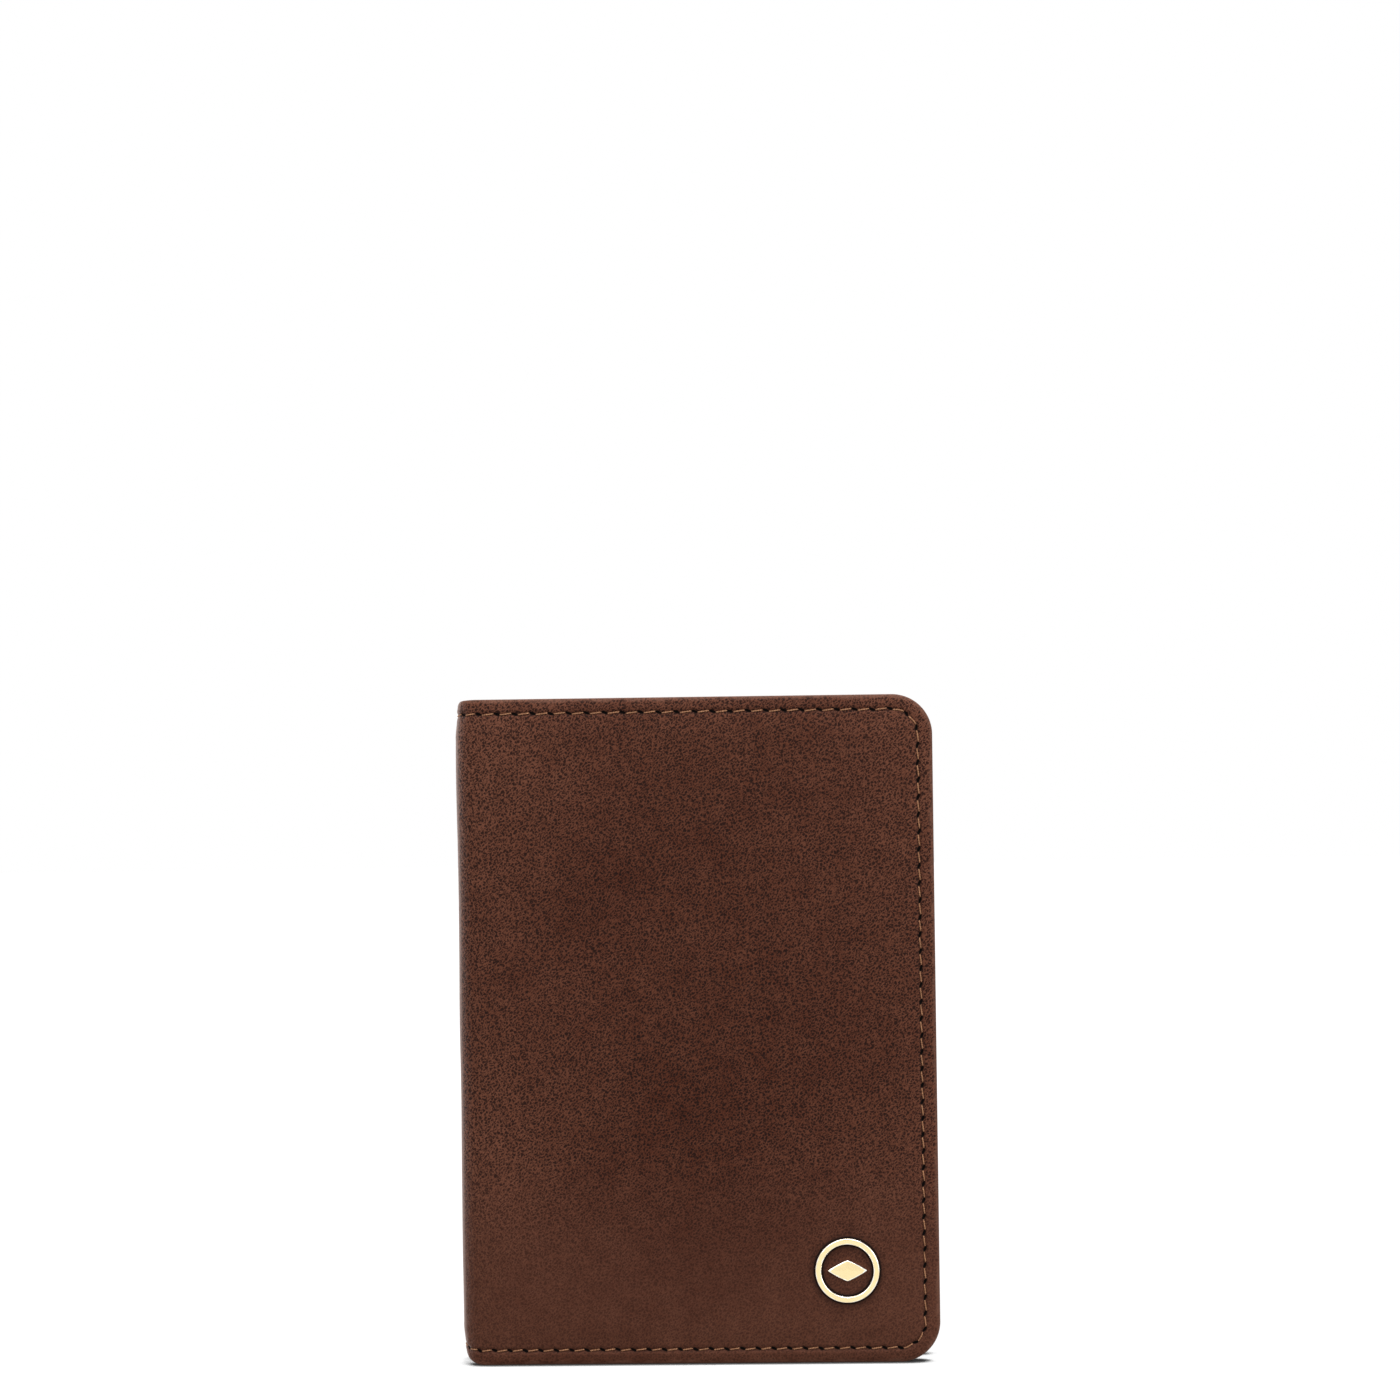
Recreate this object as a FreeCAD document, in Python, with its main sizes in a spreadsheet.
import FreeCAD, Part
import math
import os

import Sketcher
from FreeCAD import Placement, Rotation, Vector

# Passport holder: a padded leather cover that folds at two creases beside a flat spine.
# Frame: X across the width with the spine at -X, Y through the thickness with the back cover
# at +Y and the front cover at -Y, Z up with the bottom edge at 0. Closed, standing upright.

os.makedirs("parts", exist_ok=True)
document = FreeCAD.newDocument("passport_holder")

# ---------------------------------------------------------------- driving dimensions

DIMENSIONS = [
    # The closed holder
    ("cover_width", "100.4", "spine's outer face to the opening edge"),
    ("cover_height", "140", "bottom edge to top edge"),
    ("holder_depth", "16", "front cover's outer face to back cover's outer face"),
    ("corner_radius", "8.5", "corners of the opening edge"),
    # Layers, counted from the outer face inwards
    ("cover_leather", "1.0", "thickness of the cover leather"),
    ("padding_layer", "0.6", "thickness of the padding"),
    ("board_layer", "0.7", "thickness of the stiffening board"),
    ("hem_leather", "0.5", "thickness of the turned-in hem"),
    ("lining_layer", "0.3", "thickness of the lining"),
    ("edge_wall", "1.0", "leather wall round the boards at the free edges"),
    ("hem_width", "9", "width of the turned-in hem"),
    ("outer_round", "0.9", "rounding of the edge on the outer face"),
    ("inner_round", "0.35", "rounding of the edge on the inside"),
    # The two creases
    ("crease_inset", "1.5", "crease axis to the outer faces beside it, also the bead's radius"),
    ("crease_gap", "0.15", "running gap between the bead and the cover leather"),
    ("crease_reach", "2.5", "crease axis to the boards of a cover"),
    ("crease_reach_spine", "1.7", "crease axis to the layers inside the spine"),
    # Inside layers
    ("inside_inset", "1.5", "cover's edge to the edge of lining, sleeve and card panel"),
    ("sleeve_width", "62", "passport sleeve, from the cover's opening edge"),
    ("sleeve_leather", "0.6", "thickness of the sleeve"),
    ("sleeve_gap", "0.6", "room behind the sleeve for a passport's cover"),
    ("sleeve_lining_layer", "0.2", "fabric on the hidden face of the sleeve"),
    ("sleeve_margin", "3.5", "turned and stitched margin of the sleeve and the card panel"),
    ("panel_leather", "0.5", "thickness of the card panel"),
    ("panel_gap", "0.4", "room behind the card panel for papers"),
    ("panel_setback", "1.0", "card panel's free edge, back from the lining's edge at the spine"),
    # Card pockets
    ("pocket_count", "4", "number of stepped card pockets"),
    ("pocket_leather", "0.4", "thickness of one pocket"),
    ("pocket_clearance", "0.1", "gap between neighbouring pockets"),
    ("pocket_step", "13", "height from one pocket's edge to the next"),
    ("pocket_first", "49", "top edge of the lowest pocket above the base"),
    ("pocket_strip", "22", "height of the leather strip of an upper pocket"),
    ("pocket_setback", "1.0", "pockets' side edge, back from the card panel's free edge"),
    # Stitching
    ("seam_inset", "3.1", "cover's edge to the perimeter seam"),
    ("seam_pitch", "3.55", "needle hole to needle hole on the perimeter"),
    ("stitch_length", "2.2", "visible length of one stitch"),
    ("stitch_width", "0.45", "width of the thread"),
    ("stitch_height", "0.25", "height of the thread"),
    ("stitch_slant", "8", "degrees between a stitch and its seam"),
    ("seam_groove_width", "1.05", "furrow that the perimeter stitches lie in"),
    ("seam_groove_depth", "0.3", "depth of that furrow"),
    ("fine_pitch", "3.0", "needle hole to needle hole on the pockets and the sleeve"),
    ("fine_length", "1.9", "visible length of a stitch there"),
    ("fine_inset", "1.6", "edge of a pocket or sleeve to its row of stitches"),
    # Emblem
    ("emblem_side", "19.3", "opening edge to the emblem's centre"),
    ("emblem_rise", "19.4", "base to the emblem's centre"),
    ("ring_outer", "13.5", "outer diameter of the ring"),
    ("ring_inner", "10.9", "inner diameter of the ring"),
    ("ring_height", "0.9", "ring, above the leather"),
    ("ring_round", "0.3", "rounding of the ring's raised edges"),
    ("stud_length", "8.2", "lozenge stud across its long corners"),
    ("stud_width", "4.4", "lozenge stud across its short corners"),
    ("stud_skirt", "0.25", "upright side of the stud under its facets"),
    ("stud_height", "0.9", "lozenge stud, above the leather"),
    ("stud_crown", "0.22", "flat on top of the stud, as a share of its base"),
    ("prong_diameter", "0.9", "prong of the ring or the stud"),
    ("prong_clearance", "0.05", "gap round a prong in its hole"),
    ("stud_prong_offset", "2.0", "stud's centre to each of its prongs"),
    ("washer_diameter", "12.6", "backing washer"),
    ("washer_layer", "0.3", "thickness of the backing washer"),
]

sheet = document.addObject("Spreadsheet::Sheet", "Sizes")
for row, (alias, number, meaning) in enumerate(DIMENSIONS, start=1):
    sheet.set(f"A{row}", alias)
    sheet.set(f"B{row}", number)
    sheet.setAlias(f"B{row}", alias)
    sheet.set(f"C{row}", meaning)
document.recompute()


class Size:
    """A number together with the spreadsheet expression that drives it."""

    def __init__(self, value, text):
        self.value = float(value)
        self.text = text

    def __add__(self, other):
        other = as_size(other)
        return Size(self.value + other.value, f"({self.text} + {other.text})")

    def __sub__(self, other):
        other = as_size(other)
        return Size(self.value - other.value, f"({self.text} - {other.text})")

    def __mul__(self, other):
        other = as_size(other)
        return Size(self.value * other.value, f"({self.text} * {other.text})")

    def __truediv__(self, other):
        other = as_size(other)
        return Size(self.value / other.value, f"({self.text} / {other.text})")

    def __neg__(self):
        return self * -1


def as_size(number):
    """Let a plain number stand in a sum of sizes."""
    return number if isinstance(number, Size) else Size(number, f"({number:.9g})")


def dimension(alias):
    """Read one driving dimension from the sheet."""
    return Size(sheet.get(alias), f"Sizes.{alias}")


# ---------------------------------------------------------------- places worked out from them

NOTHING = as_size(0)
BACK = 1
FRONT = -1

height = dimension("cover_height")
spine_face = -dimension("cover_width") / 2
opening_edge = dimension("cover_width") / 2
outer_face = dimension("holder_depth") / 2
crease_x = spine_face + dimension("crease_inset")
crease_y = outer_face - dimension("crease_inset")
cover_start = crease_x + dimension("crease_reach")

# Depths below a cover's outer face
under_leather = dimension("cover_leather")
under_padding = under_leather + dimension("padding_layer")
under_board = under_padding + dimension("board_layer")
under_hem = under_board + dimension("hem_leather")
under_lining = under_hem + dimension("lining_layer")
under_sleeve = under_lining + dimension("sleeve_gap") + dimension("sleeve_leather")
under_panel = under_lining + dimension("panel_gap") + dimension("panel_leather")
pocket_pitch = dimension("pocket_leather") + dimension("pocket_clearance")

# Edges of the inside layers
inside_right = opening_edge - dimension("inside_inset")
inside_bottom = dimension("inside_inset")
inside_top = height - dimension("inside_inset")
inside_radius = dimension("corner_radius") - dimension("inside_inset")
sleeve_left = opening_edge - dimension("sleeve_width")
panel_left = cover_start + dimension("panel_setback")
pocket_left = panel_left + dimension("pocket_setback")
pocket_count = int(sheet.get("pocket_count"))

emblem_x = opening_edge - dimension("emblem_side")
emblem_z = dimension("emblem_rise")
prong_radius = dimension("prong_diameter") / 2
band_radius = (dimension("ring_outer") + dimension("ring_inner")) / 4
RING_PRONG_ANGLES = (90, 210, 330)
ring_prongs = [
    (
        emblem_x + band_radius * math.cos(math.radians(angle)),
        emblem_z + band_radius * math.sin(math.radians(angle)),
    )
    for angle in RING_PRONG_ANGLES
]
stud_prongs = [
    (emblem_x - dimension("stud_prong_offset"), emblem_z),
    (emblem_x + dimension("stud_prong_offset"), emblem_z),
]


# ---------------------------------------------------------------- sketch and feature helpers

POINT_NAMES = ("edge", "start", "end", "centre")
ORIGIN_POINT = (-1, POINT_NAMES.index("start"))


def new_body(label, level=NOTHING):
    """Start a body whose local XZ plane lies at the given Y."""
    body = document.addObject("PartDesign::Body", label)
    body.Label = label
    body.Placement = Placement(Vector(0, level.value, 0), Rotation())
    body.setExpression("Placement.Base.y", level.text)
    return body


def new_sketch(body, role, name, offset=NOTHING):
    """Attach a sketch to one of the body's own origin planes, lifted off it by an offset."""
    sketch = body.newObject("Sketcher::SketchObject", f"{body.Name}_{name}")
    plane = [item for item in body.Origin.OriginFeatures if item.Role == role][0]
    sketch.AttachmentSupport = [(plane, "")]
    sketch.MapMode = "FlatFace"
    sketch.AttachmentOffset = Placement(Vector(0, 0, offset.value), Rotation())
    sketch.setExpression("AttachmentOffset.Base.z", offset.text)
    return sketch


def hold(sketch, kind, element, point, size):
    """Fix one coordinate of a sketch point from the sketch's origin."""
    ends = (*ORIGIN_POINT, element, POINT_NAMES.index(point), size.value)
    index = sketch.addConstraint(Sketcher.Constraint(kind, *ends))
    sketch.setExpression(f"Constraints[{index}]", size.text)


def hold_radius(sketch, element, size):
    """Fix the radius of an arc or a circle."""
    index = sketch.addConstraint(Sketcher.Constraint("Radius", element, size.value))
    sketch.setExpression(f"Constraints[{index}]", size.text)


def draw_polygon(sketch, corners):
    """Draw a closed polygon through corners given as pairs of sizes."""
    points = [Vector(x.value, y.value, 0) for x, y in corners]
    first = sketch.GeometryCount
    for index, point in enumerate(points):
        sketch.addGeometry(Part.LineSegment(point, points[(index + 1) % len(points)]))
    for index, (x, y) in enumerate(corners):
        after = first + (index + 1) % len(points)
        sketch.addConstraint(Sketcher.Constraint("Coincident", first + index, 2, after, 1))
        hold(sketch, "DistanceX", first + index, "start", x)
        hold(sketch, "DistanceY", first + index, "start", y)


def draw_rectangle(sketch, left, right, bottom, top):
    """Draw an upright rectangle."""
    draw_polygon(sketch, [(left, bottom), (right, bottom), (right, top), (left, top)])


def draw_circle(sketch, x, y, radius):
    """Draw a circle about a point given by two sizes."""
    circle = Part.Circle(Vector(x.value, y.value, 0), Vector(0, 0, 1), radius.value)
    element = sketch.addGeometry(circle)
    hold(sketch, "DistanceX", element, "centre", x)
    hold(sketch, "DistanceY", element, "centre", y)
    hold_radius(sketch, element, radius)


def draw_outline(sketch, left, right, bottom, top, radius):
    """Draw a cover's outline: square at the spine, with two round corners at the opening edge."""
    x_round = right.value - radius.value
    low_round = bottom.value + radius.value
    high_round = top.value - radius.value
    up = Vector(0, 0, 1)
    low_arc = Part.Circle(Vector(x_round, low_round, 0), up, radius.value)
    high_arc = Part.Circle(Vector(x_round, high_round, 0), up, radius.value)
    quarter = math.pi / 2
    first = sketch.GeometryCount
    for piece in (
        Part.LineSegment(Vector(left.value, bottom.value, 0), Vector(x_round, bottom.value, 0)),
        Part.ArcOfCircle(low_arc, -quarter, 0),
        Part.LineSegment(Vector(right.value, low_round, 0), Vector(right.value, high_round, 0)),
        Part.ArcOfCircle(high_arc, 0, quarter),
        Part.LineSegment(Vector(x_round, top.value, 0), Vector(left.value, top.value, 0)),
        Part.LineSegment(Vector(left.value, top.value, 0), Vector(left.value, bottom.value, 0)),
    ):
        sketch.addGeometry(piece)
    base, low, side, high, lid, spine = range(first, first + 6)
    for one, other in ((base, low), (low, side), (side, high), (high, lid)):
        sketch.addConstraint(Sketcher.Constraint("Tangent", one, 2, other, 1))
    for one, other in ((lid, spine), (spine, base)):
        sketch.addConstraint(Sketcher.Constraint("Coincident", one, 2, other, 1))
    for element in (base, lid):
        sketch.addConstraint(Sketcher.Constraint("Horizontal", element))
    for element in (side, spine):
        sketch.addConstraint(Sketcher.Constraint("Vertical", element))
    hold(sketch, "DistanceX", spine, "start", left)
    hold(sketch, "DistanceX", side, "start", right)
    hold(sketch, "DistanceY", base, "start", bottom)
    hold(sketch, "DistanceY", lid, "end", top)
    hold_radius(sketch, low, radius)
    sketch.addConstraint(Sketcher.Constraint("Equal", low, high))


def set_length(feature, length):
    """Give a pad or pocket its length from a size."""
    feature.Length = length.value
    feature.setExpression("Length", length.text)


def pad(body, sketch, length, along_normal=True, both_ways=False):
    """Raise a sketch into the body's solid."""
    feature = body.newObject("PartDesign::Pad", f"{sketch.Name}_pad")
    feature.Profile = sketch
    feature.Reversed = not along_normal
    feature.SideType = "Symmetric" if both_ways else "One side"
    set_length(feature, length)
    document.recompute()
    return feature


def pocket(body, sketch, length, along_normal=True, both_ways=False):
    """Cut a sketch out of the body's solid and make sure that it took something away."""
    before = body.Shape.Volume
    feature = body.newObject("PartDesign::Pocket", f"{sketch.Name}_cut")
    feature.Profile = sketch
    feature.Reversed = along_normal
    feature.SideType = "Symmetric" if both_ways else "One side"
    set_length(feature, length)
    document.recompute()
    if body.Shape.Volume >= before:
        raise RuntimeError(f"{feature.Name} cuts nothing")
    return feature


def round_edges(body, name, radius, wanted):
    """Fillet the edges of the body's latest feature that the test picks out."""
    base = body.Tip
    edges = [f"Edge{number}" for number, edge in enumerate(base.Shape.Edges, 1) if wanted(edge)]
    feature = body.newObject("PartDesign::Fillet", f"{body.Name}_{name}")
    feature.Base = (base, edges)
    feature.Radius = radius.value
    feature.setExpression("Radius", radius.text)
    document.recompute()
    return feature


TOLERANCE = 1e-4


def lies_at(edge, axis, value):
    """Say whether an edge lies wholly in the plane where one coordinate has a value."""
    box = edge.BoundBox
    spans = {"x": (box.XMin, box.XMax), "y": (box.YMin, box.YMax), "z": (box.ZMin, box.ZMax)}
    low, high = spans[axis]
    return abs(low - value) < TOLERANCE and abs(high - value) < TOLERANCE


def inward_plate(label, side, depth, thickness, left, right, bottom, top, radius):
    """Make a plate with round corners at the opening edge, from a depth below the outer face."""
    body = new_body(label, (outer_face - depth) * side)
    outline = new_sketch(body, "XZ_Plane", "outline")
    draw_outline(outline, left, right, bottom, top, radius)
    pad(body, outline, thickness, along_normal=side == BACK)
    return body


def inward_cut(body, side, name, depth, length, draw):
    """Cut a drawn shape into a cover body from a local depth inwards."""
    sketch = new_sketch(body, "XZ_Plane", name, depth * side)
    draw(sketch)
    return pocket(body, sketch, length, along_normal=side == BACK)


def prong_holes(body, thickness):
    """Drill the emblem's prong holes through a layer of the front cover."""
    radius = prong_radius + dimension("prong_clearance")

    def draw(sketch):
        for x, z in ring_prongs + stud_prongs:
            draw_circle(sketch, x, z, radius)

    inward_cut(body, FRONT, "prongs", NOTHING, thickness, draw)


# ---------------------------------------------------------------- covers


def cover_leather(label, side):
    """Cover leather: the outer plate, its wrapped edges and the hem turned over the board."""
    radius = dimension("corner_radius")
    body = inward_plate(
        label, side, NOTHING, under_hem, crease_x, opening_edge, NOTHING, height, radius
    )
    round_edges(
        body,
        "outer_round",
        dimension("outer_round"),
        lambda edge: lies_at(edge, "y", 0) and not lies_at(edge, "x", crease_x.value),
    )
    hem_level = -side * under_hem.value
    round_edges(
        body,
        "inner_round",
        dimension("inner_round"),
        lambda edge: lies_at(edge, "y", hem_level) and not lies_at(edge, "x", crease_x.value),
    )
    wall = dimension("edge_wall")
    hem = dimension("hem_width")
    beyond = spine_face - hem
    further = beyond - hem
    inward_cut(
        body,
        side,
        "board_room",
        under_leather,
        dimension("padding_layer") + dimension("board_layer"),
        lambda sketch: draw_outline(
            sketch, beyond, opening_edge - wall, wall, height - wall, radius - wall
        ),
    )
    inward_cut(
        body,
        side,
        "hem_window",
        under_board,
        dimension("hem_leather"),
        lambda sketch: draw_rectangle(sketch, beyond, opening_edge - hem, hem, height - hem),
    )
    relief = new_sketch(body, "XY_Plane", "crease_relief")
    draw_rectangle(relief, beyond, cover_start, -under_leather * side, -(under_hem + wall) * side)
    pocket(body, relief, height * 2, both_ways=True)
    hollow = new_sketch(body, "XY_Plane", "crease_hollow")
    draw_circle(
        hollow,
        crease_x,
        -dimension("crease_inset") * side,
        dimension("crease_inset") + dimension("crease_gap"),
    )
    pocket(body, hollow, height * 2, both_ways=True)
    half = dimension("seam_groove_width") / 2

    def draw_furrow(sketch):
        for inset, left in (
            (dimension("seam_inset") - half, further),
            (dimension("seam_inset") + half, beyond),
        ):
            draw_outline(sketch, left, opening_edge - inset, inset, height - inset, radius - inset)

    inward_cut(body, side, "seam_furrow", NOTHING, dimension("seam_groove_depth"), draw_furrow)
    return body


def cover_core(label, side, depth, thickness):
    """Padding or board: fills the room inside the cover leather, up to the crease."""
    wall = dimension("edge_wall")
    radius = dimension("corner_radius") - wall
    return inward_plate(
        label, side, depth, thickness, cover_start, opening_edge - wall, wall, height - wall, radius
    )


def cover_lining(label, side):
    """Lining: lies on the hem, a little inside the cover's outline."""
    return inward_plate(
        label,
        side,
        under_hem,
        dimension("lining_layer"),
        cover_start,
        inside_right,
        inside_bottom,
        inside_top,
        inside_radius,
    )


def pocket_sheet(label, side, gap, leather, left):
    """A leather sheet with a turned margin on three sides and an open side at the spine."""
    margin = dimension("sleeve_margin")
    body = inward_plate(
        label,
        side,
        under_lining,
        gap + leather,
        left,
        inside_right,
        inside_bottom,
        inside_top,
        inside_radius,
    )
    inward_cut(
        body,
        side,
        "room",
        NOTHING,
        gap,
        lambda sketch: draw_outline(
            sketch,
            left - margin,
            inside_right - margin,
            inside_bottom + margin,
            inside_top - margin,
            inside_radius - margin,
        ),
    )
    return body


back_leather = cover_leather("back_cover_leather", BACK)
front_leather = cover_leather("front_cover_leather", FRONT)
back_padding = cover_core("back_padding", BACK, under_leather, dimension("padding_layer"))
front_padding = cover_core("front_padding", FRONT, under_leather, dimension("padding_layer"))
back_board = cover_core("back_board", BACK, under_padding, dimension("board_layer"))
front_board = cover_core("front_board", FRONT, under_padding, dimension("board_layer"))
back_lining = cover_lining("back_lining", BACK)
front_lining = cover_lining("front_lining", FRONT)
prong_holes(front_leather, under_leather)
prong_holes(front_padding, dimension("padding_layer"))
prong_holes(front_board, dimension("board_layer"))

# ---------------------------------------------------------------- inside of the back cover

sleeve = pocket_sheet(
    "passport_sleeve", BACK, dimension("sleeve_gap"), dimension("sleeve_leather"), sleeve_left
)
sleeve_lining = inward_plate(
    "sleeve_lining",
    BACK,
    under_lining + dimension("sleeve_gap") - dimension("sleeve_lining_layer"),
    dimension("sleeve_lining_layer"),
    sleeve_left + dimension("fine_inset"),
    inside_right - dimension("sleeve_margin"),
    inside_bottom + dimension("sleeve_margin"),
    inside_top - dimension("sleeve_margin"),
    inside_radius - dimension("sleeve_margin"),
)

# ---------------------------------------------------------------- inside of the front cover

panel = pocket_sheet("card_panel", FRONT, dimension("panel_gap"), dimension("panel_leather"), panel_left)


def pocket_top(number):
    """Height of a pocket's top edge, pocket 1 being the highest and deepest."""
    return dimension("pocket_first") + dimension("pocket_step") * (pocket_count - number)


def pocket_depth(number):
    """Depth of a pocket's hidden face below the front cover's outer face."""
    return under_panel + dimension("pocket_clearance") + pocket_pitch * (number - 1)


def pocket_plate(label, number, bottom, top):
    """One layer of a card pocket, rounded where it meets the cover's lower corner."""
    body = new_body(label, (pocket_depth(number) - outer_face))
    outline = new_sketch(body, "XZ_Plane", "outline")
    draw_rectangle(outline, pocket_left, inside_right, bottom, top)
    pad(body, outline, dimension("pocket_leather"), along_normal=False)
    if bottom is inside_bottom:
        round_edges(
            body,
            "corner",
            inside_radius,
            lambda edge: lies_at(edge, "x", inside_right.value) and lies_at(edge, "z", bottom.value),
        )
    return body


for number in range(1, pocket_count):
    strip_bottom = pocket_top(number) - dimension("pocket_strip")
    pocket_plate(f"card_pocket_{number}", number, strip_bottom, pocket_top(number))
    pocket_plate(f"pocket_backing_{number}", number, inside_bottom, strip_bottom)
pocket_plate(f"card_pocket_{pocket_count}", pocket_count, inside_bottom, pocket_top(pocket_count))

# ---------------------------------------------------------------- spine

spine_half = crease_y - dimension("crease_reach_spine")
spine_core = spine_face + dimension("cover_leather")
spine_board_end = spine_core + dimension("board_layer")
spine_hem_end = spine_board_end + dimension("hem_leather")


def spine_leather():
    """Spine leather: a flat strip with a round bead along each crease and its ends turned in."""
    body = new_body("spine_leather")
    strip = new_sketch(body, "XY_Plane", "strip")
    draw_rectangle(strip, spine_face, spine_core, -crease_y, crease_y)
    pad(body, strip, height)
    for side, name in ((BACK, "back_bead"), (FRONT, "front_bead")):
        bead = new_sketch(body, "XY_Plane", name)
        draw_circle(bead, crease_x, crease_y * side, dimension("crease_inset"))
        pad(body, bead, height)
    wall = dimension("edge_wall")
    hem = dimension("hem_width")
    for name, edge, rise in (("low_hem", NOTHING, 1), ("high_hem", height, -1)):
        turned = new_sketch(body, "XZ_Plane", name)
        draw_polygon(
            turned,
            [
                (spine_core, edge),
                (spine_hem_end, edge),
                (spine_hem_end, edge + hem * rise),
                (spine_board_end, edge + hem * rise),
                (spine_board_end, edge + wall * rise),
                (spine_core, edge + wall * rise),
            ],
        )
        pad(body, turned, spine_half * 2, both_ways=True)
    half = dimension("seam_groove_width") / 2
    furrow_end = spine_face + dimension("seam_groove_depth")
    seam = dimension("seam_inset")
    for name, level in (("low_furrow", seam), ("high_furrow", height - seam)):
        furrow = new_sketch(body, "XZ_Plane", name)
        draw_rectangle(furrow, spine_face - half, furrow_end, level - half, level + half)
        pocket(body, furrow, spine_half * 2, both_ways=True)
    return body


def spine_layer(label, start, thickness, inset):
    """A straight strip inside the spine."""
    body = new_body(label)
    section = new_sketch(body, "XY_Plane", "section", inset)
    draw_rectangle(section, start, start + thickness, -spine_half, spine_half)
    pad(body, section, height - inset * 2)
    return body


spine_leather()
spine_layer("spine_reinforcement", spine_core, dimension("board_layer"), dimension("edge_wall"))
spine_layer("spine_lining", spine_hem_end, dimension("lining_layer"), dimension("inside_inset"))

# ---------------------------------------------------------------- emblem


def emblem_ring():
    """Raised ring with a rounded band and three prongs."""
    body = new_body("emblem_ring", -outer_face)
    band = new_sketch(body, "XZ_Plane", "band")
    draw_circle(band, emblem_x, emblem_z, dimension("ring_outer") / 2)
    draw_circle(band, emblem_x, emblem_z, dimension("ring_inner") / 2)
    pad(body, band, dimension("ring_height"))
    crest = -dimension("ring_height").value
    round_edges(body, "crest", dimension("ring_round"), lambda edge: lies_at(edge, "y", crest))
    prongs = new_sketch(body, "XZ_Plane", "prongs")
    for x, z in ring_prongs:
        draw_circle(prongs, x, z, prong_radius)
    pad(body, prongs, under_board + dimension("washer_layer"), along_normal=False)
    return body


def lozenge(scale):
    """Corners of the stud's outline, drawn in by a share of its size."""
    half_length = dimension("stud_length") / 2 * scale
    half_width = dimension("stud_width") / 2 * scale
    return [
        (emblem_x + half_length, emblem_z),
        (emblem_x, emblem_z + half_width),
        (emblem_x - half_length, emblem_z),
        (emblem_x, emblem_z - half_width),
    ]


def emblem_stud():
    """Plain lozenge stud: an upright skirt, four sloping facets and two prongs."""
    body = new_body("emblem_stud", -outer_face)
    skirt = new_sketch(body, "XZ_Plane", "skirt")
    draw_polygon(skirt, lozenge(as_size(1)))
    pad(body, skirt, dimension("stud_skirt"))
    shoulder = new_sketch(body, "XZ_Plane", "shoulder", dimension("stud_skirt"))
    draw_polygon(shoulder, lozenge(as_size(1)))
    crown = new_sketch(body, "XZ_Plane", "crown", dimension("stud_height"))
    draw_polygon(crown, lozenge(dimension("stud_crown")))
    facets = body.newObject("PartDesign::AdditiveLoft", "emblem_stud_facets")
    facets.Profile = shoulder
    facets.Sections = [crown]
    facets.Ruled = True
    document.recompute()
    prongs = new_sketch(body, "XZ_Plane", "prongs")
    for x, z in stud_prongs:
        draw_circle(prongs, x, z, prong_radius)
    pad(body, prongs, under_board + dimension("washer_layer"), along_normal=False)
    return body


def emblem_washer():
    """Disc behind the board that the prongs pass through."""
    body = new_body("emblem_washer", under_board - outer_face)
    disc = new_sketch(body, "XZ_Plane", "disc")
    draw_circle(disc, emblem_x, emblem_z, dimension("washer_diameter") / 2)
    pad(body, disc, dimension("washer_layer"), along_normal=False)
    prong_holes(body, dimension("washer_layer"))
    return body


emblem_ring()
emblem_stud()
emblem_washer()

# ---------------------------------------------------------------- stitching
# A row of stitches follows a seam of straight runs and round corners, which no pattern
# feature does, so each row is a group of short bars laid along the seam.


def bar(middle, direction, level, rise, outward, length):
    """One stitch: a bar lying in a plane of constant Y, slanted to its seam."""
    width = dimension("stitch_width").value
    shape = Part.makeBox(length, rise, width, Vector(-length / 2, 0, -width / 2))
    angle = -math.degrees(math.atan2(direction.z, direction.x)) + dimension("stitch_slant").value
    base = level if outward > 0 else level - rise
    shape.Placement = Placement(Vector(middle.x, base, middle.z), Rotation(Vector(0, 1, 0), angle))
    return shape


def straight(start, end):
    """A straight stretch of seam in the XZ plane."""
    return Part.LineSegment(Vector(start[0], 0, start[1]), Vector(end[0], 0, end[1])).toShape()


def corner(centre_x, centre_z, radius, first, last):
    """A quarter of seam round a corner, from one angle to another in degrees."""
    angles = [math.radians(angle) for angle in (first, (first + last) / 2, last)]
    points = [Vector(centre_x + radius * math.cos(a), 0, centre_z + radius * math.sin(a)) for a in angles]
    return Part.Arc(*points).toShape()


def seam_path(start_x):
    """The perimeter seam of a cover, from the crease at the bottom round to the crease at the top."""
    inset = dimension("seam_inset").value
    radius = dimension("corner_radius").value - inset
    right = opening_edge.value - inset
    low = inset
    high = height.value - inset
    turn = right - radius
    return Part.Wire(
        [
            straight((start_x, low), (turn, low)),
            corner(turn, low + radius, radius, -90, 0),
            straight((right, low + radius), (right, high - radius)),
            corner(turn, high - radius, radius, 0, 90),
            straight((turn, high), (start_x, high)),
        ]
    )


def stitches_along(path, pitch, length, level_at, outward):
    """Lay bars along a path, one between each two needle holes."""
    count = max(2, round(path.Length / pitch))
    points = path.discretize(Number=2 * count + 1)
    rise = dimension("stitch_height").value
    bars = []
    for before, middle, after in zip(points[0::2], points[1::2], points[2::2]):
        bars.append(bar(middle, after - before, level_at(middle), rise, outward, length))
    return bars


def stitching(label, bars):
    """Keep a group of stitches as one named sub-part."""
    feature = document.addObject("Part::Feature", label)
    feature.Label = label
    feature.Shape = Part.makeCompound(bars)
    feature.Placement = Placement(Vector(0, 0, 0), Rotation())
    return feature


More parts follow.
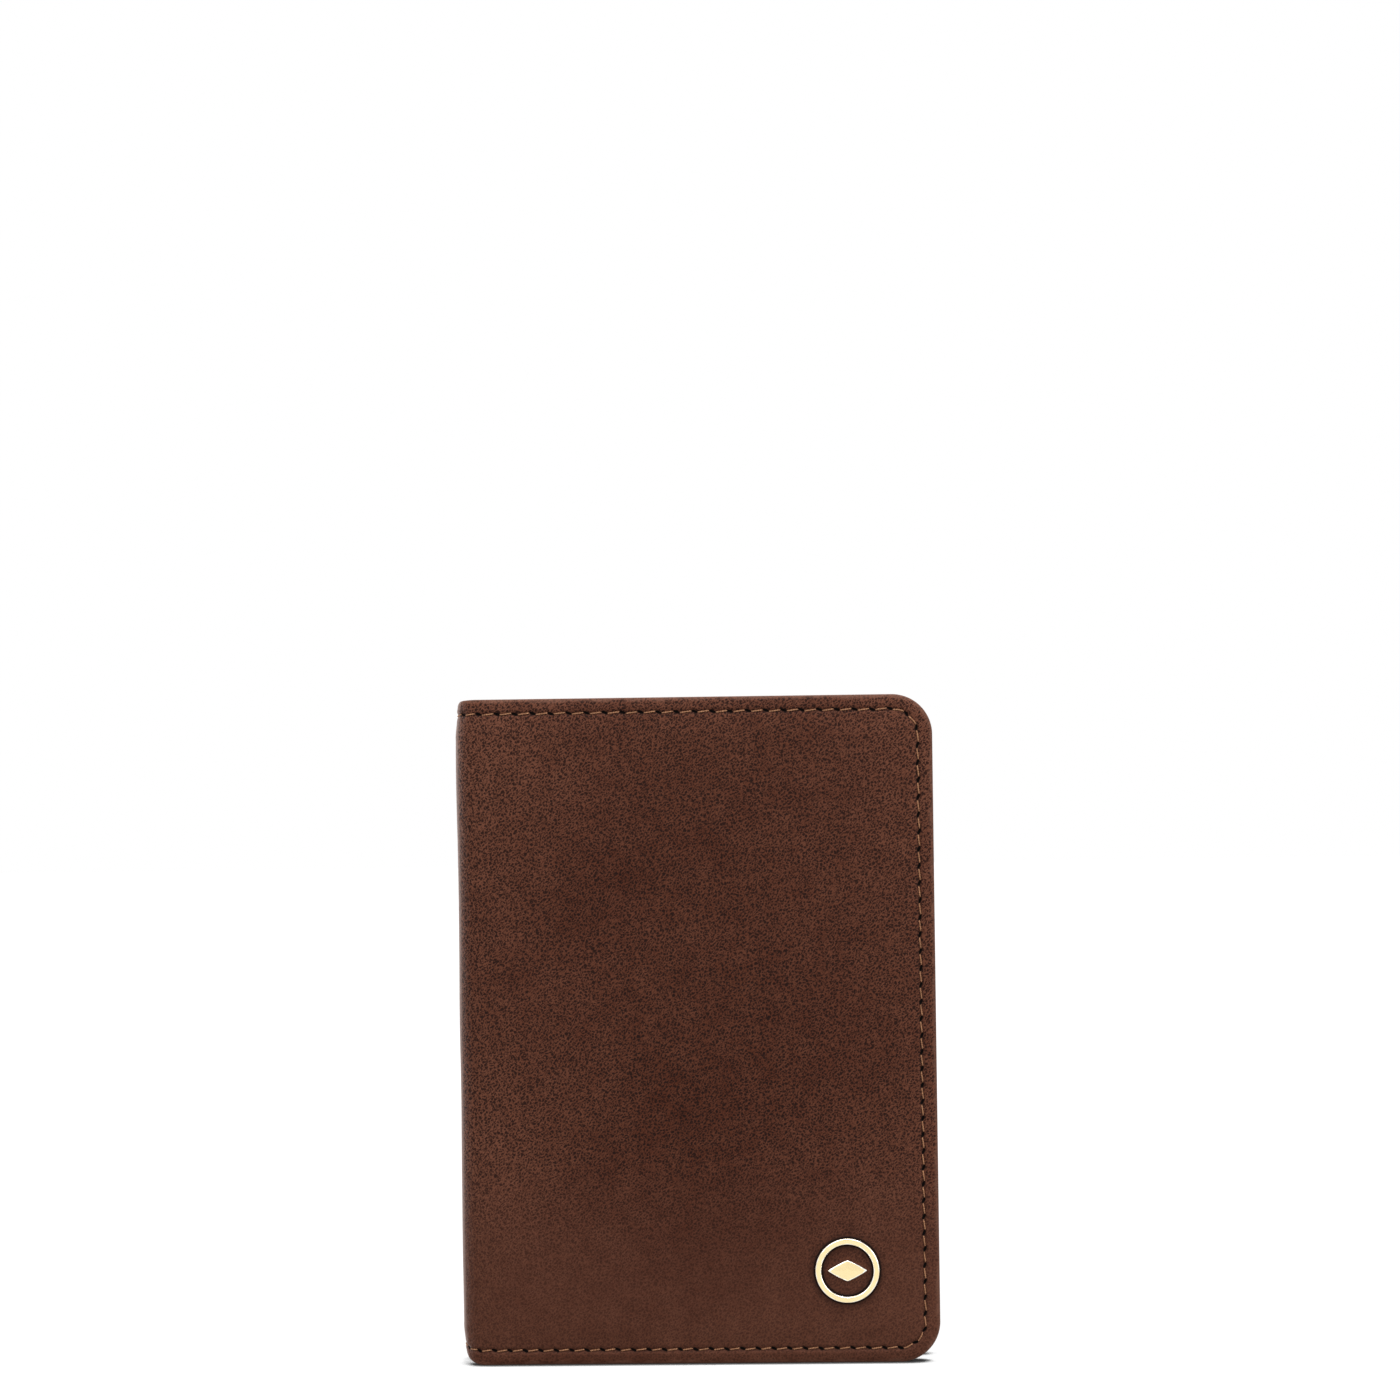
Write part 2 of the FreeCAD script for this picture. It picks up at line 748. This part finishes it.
outer_perimeter = seam_path((crease_x + dimension("crease_inset") + dimension("crease_gap")).value)
inner_perimeter = seam_path((cover_start + dimension("inside_inset")).value)
perimeter_pitch = dimension("seam_pitch").value
perimeter_length = dimension("stitch_length").value
furrow_floor = (outer_face - dimension("seam_groove_depth")).value
for side, name in ((BACK, "back"), (FRONT, "front")):
    level = furrow_floor * side
    outer_bars = stitches_along(
        outer_perimeter, perimeter_pitch, perimeter_length, lambda point: level, side
    )
    stitching(f"{name}_outer_stitching", outer_bars)


def back_inside_level(point):
    """Y of the face that the inner stitches of the back cover lie on."""
    layers = under_sleeve if point.x > sleeve_left.value else under_lining
    return (outer_face - layers).value


def front_inside_level(point):
    """Y of the face that the inner stitches of the front cover lie on."""
    levels = [under_lining.value]
    if point.x > panel_left.value:
        levels.append(under_panel.value)
    for number in range(1, pocket_count + 1):
        if point.x > pocket_left.value and point.z < pocket_top(number).value:
            levels.append((pocket_depth(number) + dimension("pocket_leather")).value)
    return max(levels) - outer_face.value


def clear_of_steps(point):
    """Say whether a stitch lies wholly on one level of the inside."""
    reach = perimeter_length / 2 + dimension("stitch_width").value
    edges_x = [sleeve_left.value, panel_left.value, pocket_left.value]
    edges_z = [pocket_top(number).value for number in range(1, pocket_count + 1)]
    beside_x = any(abs(point.x - edge) < reach for edge in edges_x)
    beside_z = any(abs(point.z - edge) < reach for edge in edges_z)
    return not beside_x and not beside_z


def inside_bars(level_at, outward):
    """Inner stitches of a cover, left out where one would cross a step."""
    bars = stitches_along(inner_perimeter, perimeter_pitch, perimeter_length, level_at, outward)
    return [shape for shape in bars if clear_of_steps(shape.BoundBox.Center)]


stitching("back_inner_stitching", inside_bars(back_inside_level, FRONT))
stitching("front_inner_stitching", inside_bars(front_inside_level, BACK))

fine_pitch = dimension("fine_pitch").value
fine_length = dimension("fine_length").value
fine_inset = dimension("fine_inset").value
row_low = dimension("seam_inset").value + fine_pitch
row_high = height.value - row_low
sleeve_row = sleeve_left.value + fine_inset
sleeve_face = (outer_face - under_sleeve).value
stitching(
    "sleeve_stitching",
    stitches_along(
        Part.Wire([straight((sleeve_row, row_low), (sleeve_row, row_high))]),
        fine_pitch,
        fine_length,
        lambda point: sleeve_face,
        FRONT,
    ),
)

pocket_bars = []
row_right = opening_edge.value - dimension("seam_inset").value - fine_pitch
side_row = pocket_left.value + fine_inset
for number in range(1, pocket_count + 1):
    face = (pocket_depth(number) + dimension("pocket_leather") - outer_face).value
    row_z = pocket_top(number).value - fine_inset
    below = inside_bottom.value if number == pocket_count else pocket_top(number + 1).value
    edge_row = Part.Wire([straight((side_row, row_z), (row_right, row_z))])
    side_seam = Part.Wire([straight((side_row, below + fine_inset), (side_row, row_z - fine_inset))])
    pocket_bars += stitches_along(edge_row, fine_pitch, fine_length, lambda point: face, BACK)
    pocket_bars += stitches_along(side_seam, fine_pitch, fine_length, lambda point: face, BACK)
stitching("pocket_stitching", pocket_bars)

spine_bars = []
spine_floor = (spine_face + dimension("seam_groove_depth")).value
spine_pitches = max(2, round(2 * spine_half.value / perimeter_pitch))
spine_step = 2 * spine_half.value / spine_pitches
for level in (dimension("seam_inset").value, height.value - dimension("seam_inset").value):
    for index in range(spine_pitches):
        middle_y = -spine_half.value + spine_step * (index + 0.5)
        length = min(perimeter_length, spine_step - dimension("stitch_width").value)
        rise = dimension("stitch_height").value
        width = dimension("stitch_width").value
        corner_point = Vector(spine_floor - rise, middle_y - length / 2, level - width / 2)
        spine_bars.append(Part.makeBox(rise, length, width, corner_point))
stitching("spine_stitching", spine_bars)

# ---------------------------------------------------------------- checks and files

document.recompute()
failed = [item.Name for item in document.Objects if {"Invalid", "Error"} & set(item.State)]
if failed:
    raise RuntimeError(f"these objects failed: {failed}")
sub_parts = [item for item in document.Objects if item.TypeId in ("PartDesign::Body", "Part::Feature")]
for item in sub_parts:
    if item.Shape.isNull() or not item.Shape.isValid():
        raise RuntimeError(f"{item.Label} has no valid shape")
for item in sub_parts:
    item.Shape.exportStep(f"parts/{item.Label}.step")
    print(item.Label, len(item.Shape.Solids), round(item.Shape.Volume, 2))
